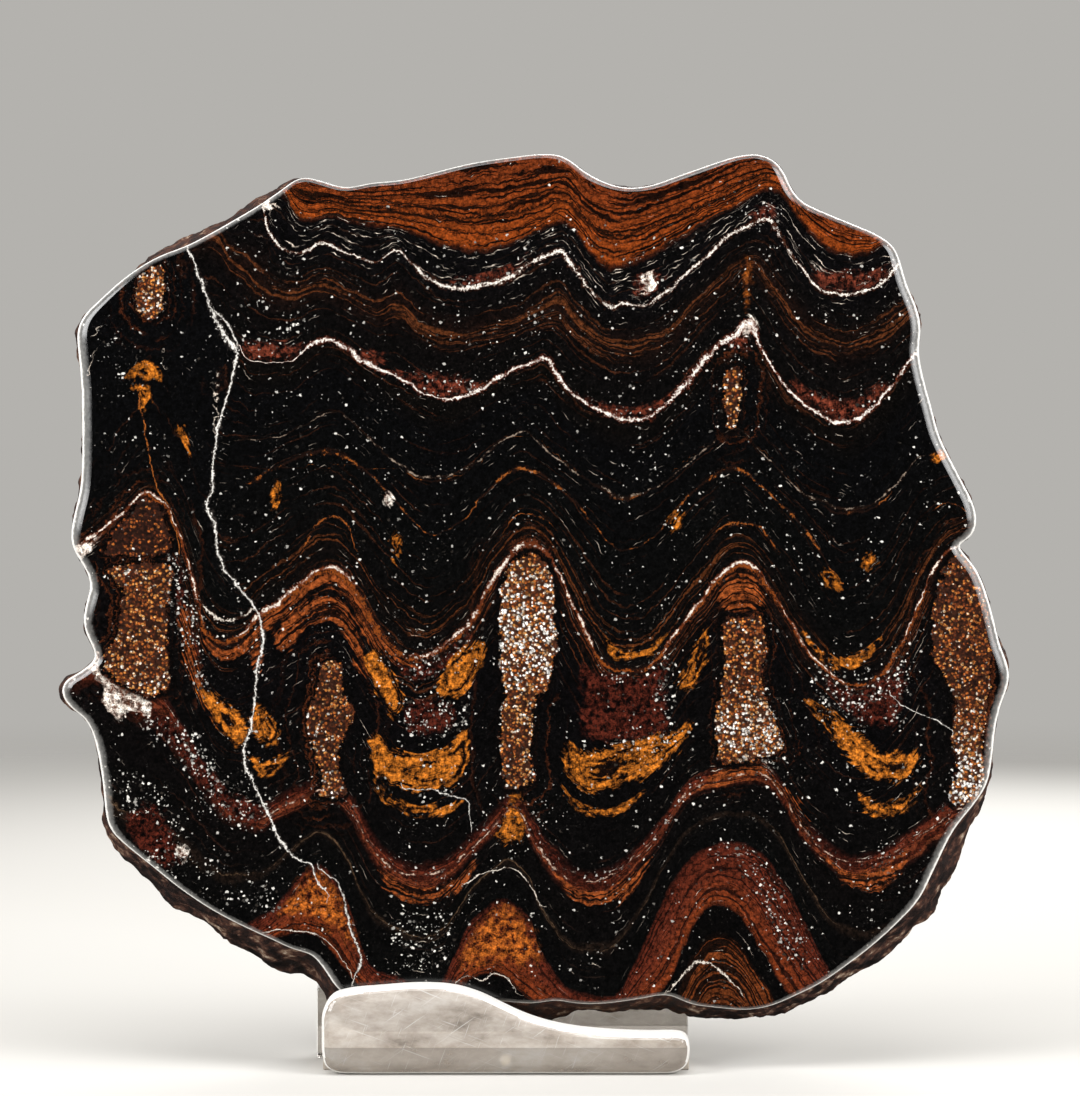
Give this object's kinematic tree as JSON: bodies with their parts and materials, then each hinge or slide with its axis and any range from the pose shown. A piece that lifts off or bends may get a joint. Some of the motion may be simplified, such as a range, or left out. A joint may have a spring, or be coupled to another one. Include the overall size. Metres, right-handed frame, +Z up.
{
  "type": "stromatolite slice on a stand",
  "caption": "Upright polished slice of dark banded stromatolite with a flaring natural rind, held in the slot of a low clear acrylic stand with a contoured front lip.",
  "frame": {"origin": "middle of the stand's foot, on the surface it stands on", "axes": "+Z up, +X to the right along the stand as seen from the front, polished face towards -Y"},
  "size_m": [0.1933, 0.028, 0.184],
  "materials": {
    "polished_stone": "polished face, rough natural rind",
    "acrylic": "clear, with ground frosted edges",
    "nylon": "matt cream"
  },
  "bodies": {
    "root": {"slice": "polished_stone", "stand_front_plate": "acrylic", "stand_spacer_bar": "acrylic", "stand_back_plate": "acrylic", "stand_pin": "nylon"}
  },
  "joints": []
}
